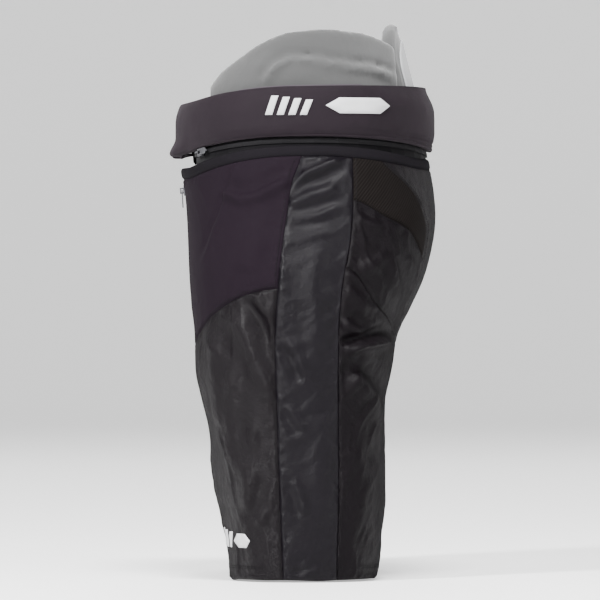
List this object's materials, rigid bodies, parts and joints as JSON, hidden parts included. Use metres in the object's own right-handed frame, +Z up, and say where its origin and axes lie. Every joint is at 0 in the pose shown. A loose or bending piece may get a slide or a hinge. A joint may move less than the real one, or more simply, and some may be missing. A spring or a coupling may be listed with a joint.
{
  "type": "padded hockey pants",
  "caption": "Knee-length padded sports pants: nylon and knit shell zipped to a wide foam belt, with kidney, spine, hip, tailbone and thigh guards and legs that swing at the hips.",
  "frame": {"origin": "on the floor under the middle of the whole, with both hems on the floor", "axes": "+Z up, -Y the wearer's front, +X the wearer's left"},
  "size_m": [0.4734, 0.3016, 0.64],
  "materials": {
    "belt_knit": "matte padded knit",
    "knit": "matte stretch knit",
    "nylon": "glossy coated nylon",
    "stripe_nylon": "satin nylon",
    "vent_mesh": "matte open mesh",
    "grey_cover": "matte brushed grey",
    "grey_cap": "light grey moulded",
    "foam": "closed cell foam",
    "black_plastic": "black moulded",
    "zipper_tape": "woven tape with nylon coil",
    "webbing": "woven webbing",
    "zipper_metal": "dark nickel"
  },
  "bodies": {
    "waist": {"back_center_panel": "nylon", "belt_cover": "belt_knit", "belt_foam": "foam", "belt_lining": "belt_knit", "belt_webbing": "webbing", "buckle_base": "black_plastic", "buckle_pin": "zipper_metal", "crotch_gusset": "nylon", "fly_zipper_tape": "zipper_tape", "left_front_panel": "knit", "left_hip_cap": "black_plastic", "left_hip_foam": "foam", "left_hip_strip": "stripe_nylon", "left_kidney_pad": "grey_cover", "left_mesh_panel": "vent_mesh", "left_seat_panel": "nylon", "right_front_panel": "knit", "right_hip_cap": "black_plastic", "right_hip_foam": "foam", "right_hip_strip": "stripe_nylon", "right_kidney_pad": "grey_cover", "right_mesh_panel": "vent_mesh", "right_seat_panel": "nylon", "spine_guard_cap": "grey_cap", "spine_guard_foam": "grey_cover", "tailbone_cap": "black_plastic", "tailbone_foam": "foam", "waist_zipper_slider": "zipper_metal", "waist_zipper_tape": "zipper_tape", "waistband": "nylon"},
    "left_leg": {"left_leg_front_panel": "nylon", "left_leg_inner_panel": "nylon", "left_leg_lining": "nylon", "left_leg_rear_panel": "nylon", "left_leg_strip": "stripe_nylon", "left_leg_zipper_tape": "zipper_tape", "left_thigh_cap": "black_plastic", "left_thigh_foam": "foam"},
    "right_leg": {"right_leg_front_panel": "nylon", "right_leg_inner_panel": "nylon", "right_leg_lining": "nylon", "right_leg_rear_panel": "nylon", "right_leg_strip": "stripe_nylon", "right_leg_zipper_tape": "zipper_tape", "right_thigh_cap": "black_plastic", "right_thigh_foam": "foam"},
    "left_leg_slider": {"left_leg_zipper_slider": "zipper_metal"},
    "left_leg_pull": {"left_leg_zipper_pull": "zipper_metal"},
    "right_leg_slider": {"right_leg_zipper_slider": "zipper_metal"},
    "right_leg_pull": {"right_leg_zipper_pull": "zipper_metal"},
    "fly_slider": {"fly_zipper_slider": "zipper_metal"},
    "fly_pull": {"fly_zipper_pull": "zipper_metal"},
    "waist_pull": {"waist_zipper_pull": "zipper_metal"},
    "buckle_lever": {"buckle_lever": "black_plastic"}
  },
  "joints": [
    {"name": "left_leg_flex", "type": "hinge", "parent": "waist", "child": "left_leg", "pos_m": [0.119, -0.01333, 0.235], "axis": [-1, 0, 0], "range_deg": [-10, 25]},
    {"name": "right_leg_flex", "type": "hinge", "parent": "waist", "child": "right_leg", "pos_m": [-0.119, -0.01333, 0.235], "axis": [-1, 0, 0], "range_deg": [-10, 25]},
    {"name": "left_leg_zip", "type": "slide", "parent": "left_leg", "child": "left_leg_slider", "axis": [-0.1162, 0, 0.9932], "range_m": [0, 0.1]},
    {"name": "left_leg_pull_flip", "type": "hinge", "parent": "left_leg_slider", "child": "left_leg_pull", "pos_m": [0.02322, -0.01333, 0.03105], "axis": [0, 1, 0], "range_deg": [0, 170]},
    {"name": "right_leg_zip", "type": "slide", "parent": "right_leg", "child": "right_leg_slider", "axis": [0.1162, 0, 0.9932], "range_m": [0, 0.1]},
    {"name": "right_leg_pull_flip", "type": "hinge", "parent": "right_leg_slider", "child": "right_leg_pull", "pos_m": [-0.02322, -0.01333, 0.03105], "axis": [0, -1, 0], "range_deg": [0, 170]},
    {"name": "fly_zip", "type": "slide", "parent": "waist", "child": "fly_slider", "axis": [0, -0.0614, 0.9981], "range_m": [-0.118, 0]},
    {"name": "fly_pull_flip", "type": "hinge", "parent": "fly_slider", "child": "fly_pull", "pos_m": [0, -0.14445, 0.44626], "axis": [-1, 0, 0], "range_deg": [0, 170]},
    {"name": "waist_pull_flip", "type": "hinge", "parent": "waist", "child": "waist_pull", "pos_m": [0.13348, -0.1236, 0.48804], "axis": [0.1129, 0.057, -0.992], "range_deg": [0, 150]},
    {"name": "buckle_lever_swing", "type": "hinge", "parent": "waist", "child": "buckle_lever", "pos_m": [-0.008, -0.14453, 0.513], "axis": [0, 0, -1], "range_deg": [0, 110]}
  ]
}
